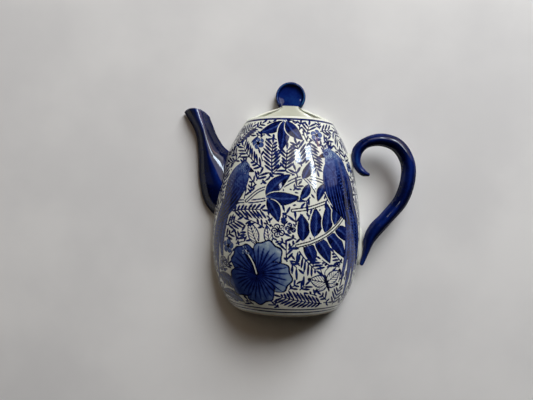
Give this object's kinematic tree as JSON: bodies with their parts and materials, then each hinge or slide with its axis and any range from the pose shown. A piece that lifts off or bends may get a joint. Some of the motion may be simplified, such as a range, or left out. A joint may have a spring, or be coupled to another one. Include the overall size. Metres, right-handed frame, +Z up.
{
  "type": "teapot wall pocket",
  "caption": "Flat-backed ceramic wall pocket shaped like half a teapot, open at the top, with a curved spout, a scrolled loop handle and a lid silhouette with a disc knob.",
  "frame": {"origin": "bottom centre of the whole object's box, on the surface that the foot stands on", "axes": "+Z up, as it hangs or stands; +Y into the wall behind its flat back, so the front faces -Y; the spout is on the -X side and the handle on the +X side"},
  "size_m": [0.1922, 0.052, 0.1885],
  "materials": {
    "painted_glaze": "cream glaze over blue painted leaves and flowers, glossy",
    "cream_glaze": "plain cream glaze, glossy",
    "navy_glaze": "deep navy glaze, glossy",
    "bare_ceramic": "wiped foot, satin"
  },
  "bodies": {
    "root": {"front_shell": "painted_glaze", "back_wall": "cream_glaze", "pocket_floor": "cream_glaze", "foot_ring": "bare_ceramic", "mouth_lip": "cream_glaze", "lid_panel": "cream_glaze", "lid_neck": "cream_glaze", "lid_knob": "navy_glaze", "spout": "navy_glaze", "handle_arch": "navy_glaze", "handle_scroll": "navy_glaze", "handle_tail": "navy_glaze", "handle_upper_pad": "cream_glaze", "handle_lower_pad": "cream_glaze"}
  },
  "joints": []
}
